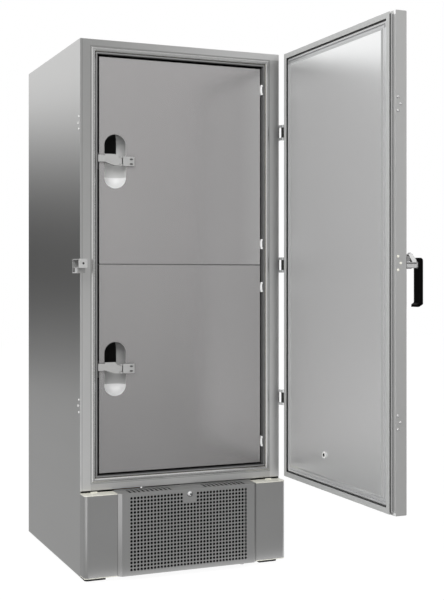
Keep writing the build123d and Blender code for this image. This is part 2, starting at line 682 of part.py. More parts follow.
def ring_strips(inset, wide, x_low, x_high):
    """Four strips round the open door's inside: two uprights, and two level ones between them."""
    low = PAN_BOTTOM + inset
    high = PAN_TOP - inset
    free = PAN_FREE_SIDE + inset
    hinge = PAN_HINGE_SIDE - inset
    return [
        ((x_low, free, low), (x_high, free + wide, high)),
        ((x_low, hinge - wide, low), (x_high, hinge, high)),
        ((x_low, free + wide, low), (x_high, hinge - wide, low + wide)),
        ((x_low, free + wide, high - wide), (x_high, hinge - wide, high)),
    ]


# Door liner: a sheet over the pan, and a raised panel of bent sheet with sloped edges
RIM_INSET = GASKET_INSET + GASKET_WIDTH + GROOVE_WIDTH
PANEL_INSET = RIM_INSET + sum(RIM_BANDS)
PANEL_MIDDLE = ((PAN_FREE_SIDE + PAN_HINGE_SIDE) / 2, (PAN_BOTTOM + PAN_TOP) / 2)
PANEL_SPAN = PAN_HINGE_SIDE - PAN_FREE_SIDE - 2 * PANEL_INSET
PANEL_TALL = PAN_TOP - PAN_BOTTOM - 2 * PANEL_INSET


def raised_panel(inset, front, back):
    """The panel's form, drawn in by an inset: straight sides, then sloped edges up to its face."""
    with BuildPart() as form:
        with BuildSketch(side_plane(back)):
            with Locations(PANEL_MIDDLE):
                Rectangle(PANEL_SPAN - 2 * inset, PANEL_TALL - 2 * inset)
        extrude(amount=RIM_FACE - back)
        for x, slope in ((RIM_FACE, 0), (front, PANEL_SLOPE)):
            with BuildSketch(side_plane(x)):
                with Locations(PANEL_MIDDLE):
                    Rectangle(PANEL_SPAN - 2 * inset - 2 * slope, PANEL_TALL - 2 * inset - 2 * slope)
        loft()
    return form.part


PANEL_SHEET = 1.5
panel_filling = raised_panel(PANEL_SHEET, PANEL_FACE + PANEL_SHEET, SHEET_FACE)
with BuildPart() as door_liner:
    block(
        (SHEET_FACE, PAN_FREE_SIDE + SHEET_INSET, PAN_BOTTOM + SHEET_INSET),
        (PAN_BACK, PAN_HINGE_SIDE - SHEET_INSET, PAN_TOP - SHEET_INSET),
    )
    add(raised_panel(0, PANEL_FACE, SHEET_FACE))
    add(panel_filling, mode=Mode.SUBTRACT)
save(door_liner, "door_liner")
save_group([door_core.part, panel_filling], "door_core")

# Rim round the panel: two raised bands with a lower one between them, in four strips
rim_layers = []
rim_at = RIM_INSET
for band, face in zip(RIM_BANDS, (RIM_FACE, RIM_LOW, RIM_FACE)):
    rim_layers.append(ring_strips(rim_at, band, face, SHEET_FACE))
    rim_at += band
rim_strips = []
for layers in zip(*rim_layers):
    with BuildPart() as rim_strip:
        for low, high in layers:
            block(low, high)
    rim_strips.append(rim_strip.part)
save_group(rim_strips, "liner_rim")

# Door gasket: four strips, each with a thin face lip, a narrow neck, a bellows and a foot
LIP_END = DOOR_FACE + 1.8
NECK_END = DOOR_FACE + 7.8
BELLOWS_END = DOOR_FACE + 15.6
GASKET_LAYERS = (
    (0.0, 0.0, DOOR_FACE, LIP_END),
    (7.0, 6.0, LIP_END, NECK_END),
    (4.8, 0.0, NECK_END, BELLOWS_END),
    (6.0, 1.0, BELLOWS_END, SHEET_FACE),
)
gasket_layers = []
for outer, inner, front, back in GASKET_LAYERS:
    wide = GASKET_WIDTH - outer - inner
    gasket_layers.append(ring_strips(GASKET_INSET + outer, wide, front, back))
gasket_strips = []
for layers in zip(*gasket_layers):
    with BuildPart() as gasket_strip:
        for low, high in layers:
            block(low, high)
    gasket_strips.append(gasket_strip.part)
save_group(gasket_strips, "door_gasket")

# Pressure valve near the foot of the door liner
VALVE_SPOT = (-382.4, 469.3)
VALVE_TALL = 5.0
with BuildPart() as valve_ring:
    with BuildSketch(side_plane(PANEL_FACE)):
        with Locations(VALVE_SPOT):
            Circle(13)
    extrude(amount=-VALVE_TALL)
    fillet(valve_ring.faces().sort_by(Axis.X)[0].edges(), 1.5)
    with BuildSketch(side_plane(PANEL_FACE - VALVE_TALL)):
        with Locations(VALVE_SPOT):
            Circle(6)
    extrude(amount=VALVE_TALL - 1, mode=Mode.SUBTRACT)
save(valve_ring, "valve_ring")

# Domed plugs on the door's free edge: bare steel at the hinge levels, pale ones at the handle
PLUG_X = 435.0
PLUG_LEVELS = {
    "edge_plugs": (HINGE_LEVELS[0] - 3, HINGE_LEVELS[2] + 1),
    "handle_plugs": (HANDLE_LEVEL + 6.5,),
}
for plug_name, levels in PLUG_LEVELS.items():
    with BuildPart() as plugs:
        for level in levels:
            for n in (-1, 0, 1):
                with BuildSketch(front_plane(PAN_FREE_SIDE)):
                    with Locations((PLUG_X if n else PLUG_X + PLUG_STEP, level + n * 22.5)):
                        Circle(PLUG_RADIUS)
                extrude(amount=PLUG_TALL)
        fillet(plugs.faces().filter_by(Axis.Y).group_by(Axis.Y)[0].edges(), 1.6)
    save(plugs, plug_name)

# Control panel on the outside of the door, with its window and a row of keys
CONTROL_LOW = (PAN_FRONT, -560.0, 1560.0)
CONTROL_HIGH = (PAN_FRONT + 14, -310.0, 1700.0)
with BuildPart() as control_panel:
    block(CONTROL_LOW, CONTROL_HIGH)
    fillet(control_panel.faces().sort_by(Axis.X)[-1].edges(), 5)
    for n in range(5):
        with Locations((CONTROL_HIGH[0] + 1, -525 + 45 * n, 1585)):
            Box(2, 26, 14)
save(control_panel, "control_panel")

with BuildPart() as display_glass:
    block((CONTROL_HIGH[0], -540, 1610), (CONTROL_HIGH[0] + 1.5, -330, 1685))
save(display_glass, "display_glass")

# Handle: a housing on the door with two ears and a pin, the grip on it, and the claw that it turns
EAR_INNER = 8.0
EAR_OUTER = 17.0
HOUSING_DEEP = 18.0
with BuildPart() as latch_housing:
    block(
        (PAN_FRONT, HANDLE_Y - EAR_OUTER, HANDLE_LEVEL - 12),
        (PAN_FRONT + 3, HANDLE_Y + EAR_OUTER, HANDLE_LEVEL + 30),
    )
    block(
        (PAN_FRONT, HANDLE_Y - EAR_OUTER, HANDLE_LEVEL - 12),
        (PAN_FRONT + HOUSING_DEEP, HANDLE_Y + EAR_OUTER, HANDLE_LEVEL + 11),
    )
    for low, high in ((-EAR_OUTER, -EAR_INNER), (EAR_INNER, EAR_OUTER)):
        block(
            (PAN_FRONT + HOUSING_DEEP, HANDLE_Y + low, HANDLE_LEVEL - 10),
            (HANDLE_PIVOT_X, HANDLE_Y + high, HANDLE_LEVEL + 10),
        )
        with Locations((HANDLE_PIVOT_X, HANDLE_Y + (low + high) / 2, HANDLE_LEVEL)):
            Cylinder(10, high - low, rotation=(90, 0, 0))
        with BuildSketch(front_plane(HANDLE_Y + high)):
            with BuildLine():
                Polyline(
                    (PAN_FRONT, HANDLE_LEVEL),
                    (PAN_FRONT, HANDLE_LEVEL + 30),
                    (PAN_FRONT + 4, HANDLE_LEVEL + 30),
                    (PAN_FRONT + 12, HANDLE_LEVEL + 26),
                    (PAN_FRONT + 9, HANDLE_LEVEL + 12),
                    (PAN_FRONT + 9, HANDLE_LEVEL),
                    close=True,
                )
            make_face()
        extrude(amount=high - low)
    with Locations((HANDLE_PIVOT_X, HANDLE_Y, HANDLE_LEVEL)):
        Cylinder(HANDLE_PIN, 2 * EAR_OUTER, rotation=(90, 0, 0))
save(latch_housing, "latch_housing")

GRIP_BACK = 519.0
GRIP_FRONT = 534.0
GRIP_LOW = 1018.0
GRIP_HIGH = 1181.5
FOOT_BACK = 509.0
with BuildPart() as handle_grip:
    with BuildSketch(front_plane(HANDLE_Y + 18)):
        with BuildLine():
            Polyline(
                (FOOT_BACK, GRIP_LOW),
                (GRIP_FRONT - 18, GRIP_LOW),
                (GRIP_FRONT, GRIP_LOW + 10),
                (GRIP_FRONT, GRIP_HIGH),
                (GRIP_BACK, GRIP_HIGH),
                (GRIP_BACK, GRIP_LOW + 15),
                (FOOT_BACK, GRIP_LOW + 8),
                close=True,
            )
        make_face()
    extrude(amount=36)
    fillet(handle_grip.edges().filter_by(Axis.Y).sort_by(Axis.Z)[-2:].sort_by(Axis.X)[-1], 10)
    fillet(handle_grip.edges().filter_by(Axis.Z).group_by(Axis.X)[-1], 4)
save(handle_grip, "handle_grip")

# The tongue turns on the pin and carries the claw
TONGUE = EAR_INNER - 0.4
CLAW_TIP = 483.0
CLAW_HEEL = 516.5
with BuildPart() as handle_claw:
    with BuildSketch(front_plane(HANDLE_Y + TONGUE)):
        with Locations((HANDLE_PIVOT_X, HANDLE_LEVEL)):
            Circle(9)
        with BuildLine():
            Polyline(
                (HANDLE_PIVOT_X, HANDLE_LEVEL - 9),
                (GRIP_BACK, HANDLE_LEVEL - 9),
                (GRIP_BACK, HANDLE_LEVEL + 8),
                (CLAW_HEEL, HANDLE_LEVEL + 11),
                (CLAW_TIP + 15.5, HANDLE_LEVEL + 37.5),
                (CLAW_TIP + 8.5, HANDLE_LEVEL + 42),
                (CLAW_TIP, HANDLE_LEVEL + 34.5),
                (HANDLE_PIVOT_X - 3, HANDLE_LEVEL + 12),
                (HANDLE_PIVOT_X - 8, HANDLE_LEVEL + 2),
                close=True,
            )
        make_face()
    extrude(amount=2 * TONGUE)
    with Locations((HANDLE_PIVOT_X, HANDLE_Y, HANDLE_LEVEL)):
        Cylinder(HANDLE_PIN + RUNNING, 3 * TONGUE, rotation=(90, 0, 0), mode=Mode.SUBTRACT)
save(handle_claw, "handle_claw")

# Inner doors, each a bent skin with a finger dish, a foam core in blocks round it, and a back gasket
INNER_BACK = INNER_FRONT + INNER_THICK
POCKET = DISH_RADIUS + INNER_SKIN
GASKET_GAP = 0.6
door_barrels = {}
for door_name, (low, high) in INNER_SPANS.items():
    dish_level = DISH_LEVELS[door_name]
    straight = DISH_TALL / 2 - DISH_RADIUS
    with BuildPart() as inner_skin:
        block((-INNER_HALF, INNER_FRONT, low), (INNER_HALF, INNER_BACK, high))
        fillet(inner_skin.faces().sort_by(Axis.Y)[0].edges(), 1.2)
        block(
            (-INNER_HALF + INNER_SKIN, INNER_FRONT + INNER_SKIN, low + INNER_SKIN),
            (INNER_HALF - INNER_SKIN, INNER_BACK, high - INNER_SKIN),
            mode=Mode.SUBTRACT,
        )
        for radius, way in ((POCKET, Mode.ADD), (DISH_RADIUS, Mode.SUBTRACT)):
            pillar((DISH_X, INNER_FRONT), radius, dish_level - straight, dish_level + straight, way)
            for end in (-straight, straight):
                with Locations((DISH_X, INNER_FRONT, dish_level + end)):
                    Sphere(radius, mode=way)
        block(
            (-INNER_HALF, INNER_FRONT - 2 * POCKET, low),
            (INNER_HALF, INNER_FRONT, high),
            mode=Mode.SUBTRACT,
        )
    save(inner_skin, f"inner_{door_name}_skin")

    left = DISH_X - POCKET
    right = DISH_X + POCKET
    pocket_low = dish_level - straight - POCKET
    pocket_high = dish_level + straight + POCKET
    edge = INNER_HALF - INNER_SKIN
    face = INNER_FRONT + INNER_SKIN
    foam_blocks = [
        ((right, face, low + INNER_SKIN), (edge, INNER_BACK, high - INNER_SKIN)),
        ((-edge, face, pocket_high), (right, INNER_BACK, high - INNER_SKIN)),
        ((-edge, face, low + INNER_SKIN), (right, INNER_BACK, pocket_low)),
        ((-edge, face, pocket_low), (left, INNER_BACK, pocket_high)),
        ((left, INNER_FRONT + POCKET, pocket_low), (right, INNER_BACK, pocket_high)),
    ]
    save_group(boxes(foam_blocks), f"inner_{door_name}_core")

    with BuildPart() as inner_gasket:
        seal_back = LEDGE - GASKET_GAP
        seal_low = max(low + 4, CHAMBER_BOTTOM - 10)
        seal_high = min(high - 4, CHAMBER_TOP + 10)
        for side in (-1, 1):
            near, far = sorted((side * (CHAMBER_HALF + 4), side * (INNER_HALF - 6)))
            block((near, INNER_BACK, seal_low), (far, seal_back, seal_high))
        span = CHAMBER_HALF + 4
        block((-span, INNER_BACK, seal_low), (span, seal_back, seal_low + 12))
        block((-span, INNER_BACK, seal_high - 12), (span, seal_back, seal_high))
        if door_name == "lower":
            # a lip that closes the slit between the two doors
            block((-INNER_HALF, INNER_FRONT + 2, high), (INNER_HALF, INNER_FRONT + 8, high + 3.5))
    save(inner_gasket, f"inner_{door_name}_gasket")

    with BuildPart() as inner_barrels:
        for level in INNER_HINGES[door_name]:
            reach = INNER_HINGE_TALL / 2 - INNER_EAR - AXIAL
            pillar(INNER_AXIS, INNER_KNUCKLE, level - reach, level + reach)
            block(
                (INNER_HALF, INNER_AXIS[1], level - reach),
                (INNER_HALF + 1.8, INNER_FRONT + 28, level + reach),
            )
            pillar(INNER_AXIS, INNER_PIN + RUNNING, level - reach, level + reach, Mode.SUBTRACT)
    door_barrels[door_name] = inner_barrels.part.solids()

# Inner hinge brackets on the right wall of the throat, each with two ears and a pin
BRACKET_BACK = INNER_FRONT + 24
with BuildPart() as inner_hinge_brackets:
    for levels in INNER_HINGES.values():
        for level in levels:
            low = level - INNER_HINGE_TALL / 2
            high = level + INNER_HINGE_TALL / 2
            block((TRIM_HALF - 1.6, INNER_FRONT + 1, low), (TRIM_HALF, BRACKET_BACK, high))
            for bottom in (low, high - INNER_EAR):
                pillar(INNER_AXIS, INNER_KNUCKLE, bottom, bottom + INNER_EAR)
                block(
                    (INNER_AXIS[0], INNER_AXIS[1] - INNER_KNUCKLE, bottom),
                    (TRIM_HALF, INNER_FRONT + 6, bottom + INNER_EAR),
                )
            pillar(INNER_AXIS, INNER_PIN, low, high)

# Inner latches: a base on each door, a lever that swings out on it, and a keeper on the throat's left wall
LATCH_HALF_BASE = 17.5
LATCH_EAR = 6.0
for door_name, dish_level in DISH_LEVELS.items():
    middle = dish_level + 1
    low = middle - LATCH_HALF_BASE
    high = middle + LATCH_HALF_BASE
    with BuildPart() as latch_base:
        block((LATCH_AXIS[0] + 5.5, LATCH_AXIS[1] - 4.5, low), (-193, INNER_FRONT, high))
        fillet(latch_base.edges().filter_by(Axis.Z).group_by(Axis.X)[-1], 4)
        for dz in (-9.5, 8):
            with Locations((-207, LATCH_AXIS[1] - 4.7, middle + dz)):
                Cylinder(4.2, 2, rotation=(90, 0, 0))
        for bottom in (low, high - LATCH_EAR):
            pillar(LATCH_AXIS, LATCH_KNUCKLE, bottom, bottom + LATCH_EAR)
            block(
                (LATCH_AXIS[0], LATCH_AXIS[1] - LATCH_KNUCKLE, bottom),
                (LATCH_AXIS[0] + 6, LATCH_AXIS[1] + LATCH_KNUCKLE, bottom + LATCH_EAR),
            )
        pillar(LATCH_AXIS, LATCH_PIN, low, high)
    save_group(door_barrels[door_name] + [latch_base.part], f"inner_{door_name}_fittings")

    with BuildPart() as latch_lever:
        lever_low = low + LATCH_EAR + AXIAL
        lever_high = high - LATCH_EAR - AXIAL
        pillar(LATCH_AXIS, LATCH_KNUCKLE, lever_low, lever_high)
        block(
            (LATCH_AXIS[0] - 8, LATCH_AXIS[1] - LATCH_KNUCKLE, lever_low),
            (LATCH_AXIS[0], LATCH_AXIS[1] + LATCH_KNUCKLE, lever_high),
        )
        # the broad body, stepped at its upper right and sloped at its lower left
        with BuildSketch(front_plane(LATCH_AXIS[1] + LATCH_KNUCKLE)):
            with BuildLine():
                Polyline(
                    (LATCH_AXIS[0] - 6.5, middle - 17.5),
                    (LATCH_AXIS[0] - 6.5, middle + 15.5),
                    (-264, middle + 15.5),
                    (-268, middle + 25.5),
                    (-310, middle + 25.5),
                    (-310, middle - 5),
                    (-273, middle - 17.5),
                    close=True,
                )
            make_face()
        extrude(amount=2 * LATCH_KNUCKLE)
        fillet(latch_lever.faces().sort_by(Axis.Y)[0].edges(), 1.5)
        # the narrow arm that reaches over the keeper
        block((LATCH_TIP, LATCH_AXIS[1] - 4, middle - 5), (-304, LATCH_AXIS[1] + 3, middle + 20.5))
        pillar(LATCH_AXIS, LATCH_PIN + RUNNING, low, high, Mode.SUBTRACT)
    save(latch_lever, f"inner_{door_name}_lever")

KEEPER_FRONT = LATCH_AXIS[1] + 5
with BuildPart() as latch_keepers:
    for dish_level in DISH_LEVELS.values():
        block((-TRIM_HALF, KEEPER_FRONT, dish_level - 31), (-TRIM_HALF + 3, 42, dish_level + 32))
        for dz in (-24, 25):
            with Locations((-TRIM_HALF + 3, KEEPER_FRONT + 8, dish_level + dz)):
                Cylinder(3, 2.5, rotation=(0, 90, 0))
save_group(inner_hinge_brackets.part.solids() + latch_keepers.part.solids(), "throat_fittings")
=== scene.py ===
import bpy
import bmesh
import math
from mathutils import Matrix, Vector


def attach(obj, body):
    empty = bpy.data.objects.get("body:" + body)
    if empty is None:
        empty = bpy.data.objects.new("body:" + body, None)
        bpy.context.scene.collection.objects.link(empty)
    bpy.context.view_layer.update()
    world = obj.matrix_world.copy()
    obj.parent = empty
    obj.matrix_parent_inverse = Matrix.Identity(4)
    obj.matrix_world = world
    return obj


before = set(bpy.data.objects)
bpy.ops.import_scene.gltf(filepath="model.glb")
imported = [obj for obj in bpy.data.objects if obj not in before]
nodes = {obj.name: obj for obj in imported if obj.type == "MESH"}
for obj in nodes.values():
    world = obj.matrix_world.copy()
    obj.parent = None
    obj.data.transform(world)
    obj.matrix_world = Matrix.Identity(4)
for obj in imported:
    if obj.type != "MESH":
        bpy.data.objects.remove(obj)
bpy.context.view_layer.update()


# Cabinet skins: folded sheets of brushed stainless steel over the foam of the walls.
# The brush lines are taken to run front to back on the sides and across the top.
def linear(hex_colour):
    """Turns an sRGB hex colour into the linear colour that a shader takes."""
    parts = [int(hex_colour[at:at + 2], 16) / 255 for at in (1, 3, 5)]
    return [c / 12.92 if c <= 0.04045 else ((c + 0.055) / 1.055) ** 2.4 for c in parts] + [1.0]


def node(tree, kind, inputs=None, **settings):
    """Adds a shader node: a socket is linked to its input, and any other value is set on it."""
    made = tree.nodes.new("ShaderNode" + kind)
    for name, value in settings.items():
        setattr(made, name, value)
    for key, value in (inputs or {}).items():
        if isinstance(value, bpy.types.NodeSocket):
            tree.links.new(value, made.inputs[key])
        else:
            made.inputs[key].default_value = value
    return made


def finish(name, dark, light, patch_mm, rough, grain_mm, depth_mm, metallic=0.0, edge_mm=0.8,
           edge_highlight=0.1):
    """Makes a finish of two tones in soft patches, with a grain that shows in its gloss and its relief.
    Edges get a painted highlight: white is mixed into their colour where a rounded normal finds them, and the
    rounded normal also shades them."""
    material = bpy.data.materials.new(name)
    material.use_nodes = True
    tree = material.node_tree
    shader = tree.nodes["Principled BSDF"]
    place = node(tree, "TexCoord").outputs["Object"]
    patch_place = node(tree, "Mapping", {"Vector": place, "Scale": [1000 / mm for mm in patch_mm]})
    grain_place = node(tree, "Mapping", {"Vector": place, "Scale": [1000 / mm for mm in grain_mm]})
    patch = node(tree, "TexNoise", {"Vector": patch_place.outputs[0], "Scale": 1.0, "Detail": 3.0})
    grain = node(tree, "TexNoise", {"Vector": grain_place.outputs[0], "Scale": 1.0, "Detail": 2.0})
    tone = node(tree, "MixRGB", {"Fac": patch.outputs["Fac"], "Color1": linear(dark),
                                 "Color2": linear(light)})
    gloss = node(tree, "MapRange", {"Value": grain.outputs["Fac"], "From Min": 0.3, "From Max": 0.7,
                                    "To Min": rough[0], "To Max": rough[1]})
    relief = node(tree, "Bump", {"Height": grain.outputs["Fac"], "Distance": depth_mm / 1000,
                                 "Strength": 1.0})
    tree.links.new(tone.outputs[0], shader.inputs["Base Color"])
    tree.links.new(gloss.outputs[0], shader.inputs["Roughness"])
    if depth_mm or edge_mm:
        tree.links.new(relief.outputs[0], shader.inputs["Normal"])
    if edge_mm:
        rounded = node(tree, "Bevel", {"Radius": edge_mm / 1000}, samples=4)
        flat = node(tree, "NewGeometry").outputs["Normal"]
        along = node(tree, "VectorMath", {0: rounded.outputs[0], 1: flat}, operation="DOT_PRODUCT")
        turned = node(tree, "MapRange", {"Value": along.outputs["Value"], "From Min": 1.0, "From Max": 0.8,
                                         "To Min": 0.0, "To Max": edge_highlight})
        edge_highlighted = node(tree, "MixRGB", {"Fac": turned.outputs[0], "Color1": tone.outputs[0],
                                       "Color2": (1.0, 1.0, 1.0, 1.0)})
        tree.links.new(edge_highlighted.outputs[0], shader.inputs["Base Color"])
        tree.links.new(rounded.outputs[0], relief.inputs["Normal"])
    shader.inputs["Metallic"].default_value = metallic
    return material


def dress(material, *names):
    """Gives the named solids one finish."""
    for name in names:
        mesh = nodes[name].data
        mesh.materials.clear()
        mesh.materials.append(material)


# Brushed 304 sheet: real brush lines are about 0.1 mm wide, drawn 3 mm wide so that they show.
level_brushed_sheet = finish("level_brushed_304_stainless", "#bebebd", "#c6c6c5", (900, 1400, 260),
                             (0.278, 0.286), (400, 1600, 3.0), 0.0, metallic=1.0)
dress(level_brushed_sheet, "left_side_panel", "right_side_panel", "back_panel")
# The top sheet is brushed across, left to right.
cross_brushed_sheet = finish("cross_brushed_304_stainless", "#bcbcbb", "#c6c6c5", (1400, 300, 900),
                             (0.30, 0.40), (420, 3.0, 160), 0.012, metallic=1.0)
dress(cross_brushed_sheet, "top_panel")

# Front frame: two stiles and two rails of satin stainless sheet round the opening, folded at the outer edge.
# A raised bead of brighter sheet is pressed round the opening.
def maths(operation, *terms):
    """Joins shader values by one sum. A term that is a socket says whose node tree it is."""
    tree = next(term.id_data for term in terms if isinstance(term, bpy.types.NodeSocket))
    return node(tree, "Math", dict(enumerate(terms)), operation=operation).outputs[0]


def over(value, limit):
    """Masks where a shader value is over a limit."""
    return maths("GREATER_THAN", value, limit)


def under(value, limit):
    """Masks where a shader value is under a limit."""
    return maths("LESS_THAN", value, limit)


def near(value, middle, half):
    """Masks where a shader value is within half of the middle."""
    return maths("COMPARE", value, middle, half)


def all_of(mask, *others):
    """Masks where every mask does."""
    for other in others:
        mask = maths("MULTIPLY", mask, other)
    return mask


def ramp(value, start, end):
    """Masks a soft run from 0 at the start to 1 at the end."""
    return node(value.id_data, "MapRange", {"Value": value, "From Min": start, "From Max": end}).outputs[0]


def stain(material, mask, colour, share=1.0, paint=False):
    """Lays a colour over the part of a finish where the mask is 1; paint also hides the metal there."""
    tree = material.node_tree
    shader = tree.nodes["Principled BSDF"]
    base = shader.inputs["Base Color"]
    amount = maths("MULTIPLY", mask, share)
    laid = node(tree, "MixRGB", {"Fac": amount, "Color1": base.links[0].from_socket,
                                 "Color2": linear(colour)})
    tree.links.new(laid.outputs[0], base)
    if paint:
        metal = shader.inputs["Metallic"]
        bare = maths("SUBTRACT", 1.0, amount)
        tree.links.new(maths("MULTIPLY", bare, metal.default_value), metal)


def spots(material):
    """Gives the place on a solid, in metres in the shared frame, and the way it faces, each as X, Y, Z."""
    where = node(material.node_tree, "TexCoord")
    place = node(material.node_tree, "SeparateXYZ", {0: where.outputs["Object"]}).outputs
    way = node(material.node_tree, "SeparateXYZ", {0: where.outputs["Normal"]}).outputs
    return place, way


opening_middle = 1.1625
opening_extra_height = 0.4430


def reach(place):
    """Tells how far out a place lies from the opening's middle, in rings of the opening's own shape."""
    level = maths("ABSOLUTE", maths("SUBTRACT", place["Z"], opening_middle))
    return maths("MAXIMUM", maths("ABSOLUTE", place["X"]), maths("SUBTRACT", level, opening_extra_height))


# Satin sheet gives an even soft grey with only a faint cloud, and a painted highlight along its edges.
framed_sheet = finish("satin_304_stainless_folded_frame", "#d0d0cf", "#d8d8d7", (240, 240, 700),
                      (0.32, 0.33), (2.4, 2.4, 300), 0.0, metallic=0.85, edge_mm=2.5, edge_highlight=0.25)
# It shows the fine seam round the bead; painted shade draws the fold line of its outer edge and darkens it
# towards the head.
seam_reach = 0.3652
fold_half = 0.3975
line_half = 0.0011
rail_low = 1.9707
place, way = spots(framed_sheet)
across = maths("ABSOLUTE", place["X"])
rail = over(place["Z"], rail_low)
below_rail = maths("SUBTRACT", 1.0, rail)
stain(framed_sheet, ramp(place["Z"], 0.4, 1.95), "#8e8e8d", 0.62)
stain(framed_sheet, near(reach(place), seam_reach, line_half), "#5c5c5b", 0.45)
stain(framed_sheet, near(across, fold_half, line_half), "#5c5c5b", 0.45)
# Painted light brightens the stiles to the foot, the hinge-side one throughout, and the top rail towards the
# hinges.
stain(framed_sheet, all_of(ramp(place["Z"], 1.3, 0.4), over(across, seam_reach)), "#ffffff", 0.35)
stain(framed_sheet, all_of(over(place["X"], seam_reach), below_rail), "#ffffff", 0.25)
stain(framed_sheet, all_of(rail, ramp(place["X"], -0.35, 0.4)), "#ffffff", 0.5)
dress(framed_sheet, "front_frame")
# Pressed sheet is brighter than the satin, with a painted highlight along its crest.
pressed_bead = finish("pressed_bright_stainless", "#c2c2c1", "#cacac9", (300, 300, 300),
                      (0.16, 0.22), (2.0, 2.0, 200), 0.002, metallic=1.0, edge_mm=2.5, edge_highlight=0.5)
dress(pressed_bead, "frame_bead")

# Throat trim: dark grey plastic strips that line the opening behind the bead.
# They are taken to be extruded, so they are smooth with fine lines along their length.
dark_pvc = finish("extruded_dark_pvc", "#343434", "#3e3e3e", (40, 40, 400), (0.40, 0.52),
                  (1.2, 1.2, 120), 0.02, edge_mm=0)
# Its bands differ: a dark groove next to the bead, a paler band inside it, black painted shade on the returns
# and inside that band at the sides, and painted light on the right jamb.
place, way = spots(dark_pvc)
ring = reach(place)
forward = under(way["Y"], -0.5)
stain(dark_pvc, near(ring, 0.3417, 0.0025), "#828282", 0.9)
stain(dark_pvc, all_of(under(ring, 0.3392), forward, over(maths("ABSOLUTE", place["X"]), 0.3365)),
      "#040404", 0.95)
stain(dark_pvc, all_of(over(way["Y"], -0.5), over(place["Y"], 0.018)), "#040404", 0.95)
stain(dark_pvc, all_of(under(way["X"], -0.5), over(place["X"], 0.3), under(place["Y"], 0.024)),
      "#767676", 0.85)
dress(dark_pvc, "throat_trim")
# Hinge brackets and latch keepers: dull plated castings, of which the brackets on the right look white.
nickel_castings = finish("dull_nickel_on_zinc", "#b5b5b4", "#c0c0bf", (30, 30, 30), (0.28, 0.36),
                         (1.5, 1.5, 1.5), 0.01, metallic=1.0)
place, way = spots(nickel_castings)
stain(nickel_castings, over(place["X"], 0.3), "#ffffff", 0.9, paint=True)
dress(nickel_castings, "throat_fittings")

# Cold chamber: a stainless box set in foamed insulation, with folded shelves on slotted uprights.
# None of it shows in the photograph; the box and shelves have the mill's own smooth bright finish.
mill_sheet = finish("bright_annealed_stainless", "#bdbdbc", "#c8c8c7", (500, 500, 500), (0.16, 0.24),
                    (3.0, 3.0, 260), 0.006, metallic=1.0)
dress(mill_sheet, "chamber_liner", "shelf_lower", "shelf_middle", "shelf_upper", "shelf_supports")
# Rigid polyurethane foam: cream, with cells of about 1 mm, drawn at 2 mm.
rigid_foam = finish("rigid_polyurethane_foam", "#d9c99a", "#e6dab2", (60, 60, 60), (0.75, 0.9),
                    (2, 2, 2), 0.3)
# Where the foam would show, on the ledge behind the throat, it is toned as a grey cover strip.
place, way = spots(rigid_foam)
stain(rigid_foam, all_of(under(way["Y"], -0.5), under(place["Y"], 0.3)), "#8e8f8f")
dress(rigid_foam, "insulation", "door_core")
# The inner doors' foam looks like white formed polystyrene: smooth, with a slight waviness.
formed_polystyrene = finish("vacuum_formed_white_polystyrene", "#d6d8d8", "#dedfdf", (200, 200, 200),
                            (0.35, 0.45), (40, 40, 40), 0.05)
dress(formed_polystyrene, "inner_upper_core", "inner_lower_core")
# Drawn copper: a warm soft gloss.
drawn_copper = finish("drawn_copper_tube", "#b0704e", "#c98a62", (40, 40, 40), (0.28, 0.42), (4, 4, 4),
                      0.02, metallic=1.0)
dress(drawn_copper, "evaporator_coil", "cascade_exchanger")

# Machine space: two black compressors on rubber, a finned condenser with its fan, and a box of electrics.
# They stand on a galvanised pan, and little of them shows through the plinth and the back slots.
# Galvanised steel: a grey spangle of 9 to 18 mm.
galvanised_pan = finish("galvanised_steel", "#a9adae", "#c3c6c6", (18, 18, 18), (0.38, 0.5), (9, 9, 9),
                        0.02, metallic=1.0)
dress(galvanised_pan, "base_pan")
# Stoved paint: an even black with a slight orange peel of 2 mm.
stove_black = finish("stoved_black_paint", "#17181a", "#202124", (50, 50, 50), (0.35, 0.45), (2, 2, 2),
                     0.04)
dress(stove_black, "compressor_high_stage", "compressor_low_stage", "fan_shroud")
# Rubber: matt black.
moulded_rubber = finish("moulded_black_rubber", "#141414", "#1d1d1d", (20, 20, 20), (0.6, 0.75),
                        (1.2, 1.2, 1.2), 0.05)
dress(moulded_rubber, "compressor_mounts", "feet")
# Felt: a deep matt black, so that the grille's holes look dark.
filter_felt = finish("black_filter_felt", "#060606", "#0c0c0c", (30, 30, 30), (0.85, 0.95),
                     (1.5, 1.5, 1.5), 0.4)
dress(filter_felt, "air_filter")
# Rolled aluminium: pale, with lines down the fins.
aluminium_fins = finish("rolled_aluminium_fins", "#c9cacc", "#d8d9da", (60, 60, 60), (0.3, 0.42),
                        (2, 2, 40), 0.01, metallic=1.0)
dress(aluminium_fins, "condenser")
# Glass-filled nylon: dark, with a fine dull grain.
glass_filled_nylon = finish("glass_filled_black_nylon", "#1b1c1d", "#27282a", (15, 15, 15), (0.5, 0.62),
                            (1, 1, 1), 0.05)
dress(glass_filled_nylon, "fan_motor", "fan_rotor", "power_inlet")
# Powder coat: mid grey, with a texture of 1.6 mm.
powder_grey = finish("grey_powder_coat", "#8f9293", "#999c9d", (80, 80, 80), (0.5, 0.6),
                     (1.6, 1.6, 1.6), 0.05)
dress(powder_grey, "electrical_box")

# Plinth: two folded corner cheeks with pale caps, and a perforated centre grille that tilts out.
# Satin stainless sheet like the cabinet's, with a closer vertical grain; the grille has a key lock.
def disc(first, second, middle, radius):
    """Masks a round spot in the plane of two shader values."""
    along = maths("SUBTRACT", first, middle[0])
    up = maths("SUBTRACT", second, middle[1])
    return under(maths("MULTIPLY_ADD", up, up, maths("MULTIPLY", along, along)), radius ** 2)


plinth_sheet = finish("plinth_satin_stainless", "#b2b2b1", "#bababa", (300, 300, 160), (0.32, 0.35),
                      (1.6, 1.6, 120), 0.001, metallic=1.0, edge_mm=0)
dress(plinth_sheet, "plinth_cheek_left", "plinth_cheek_right")
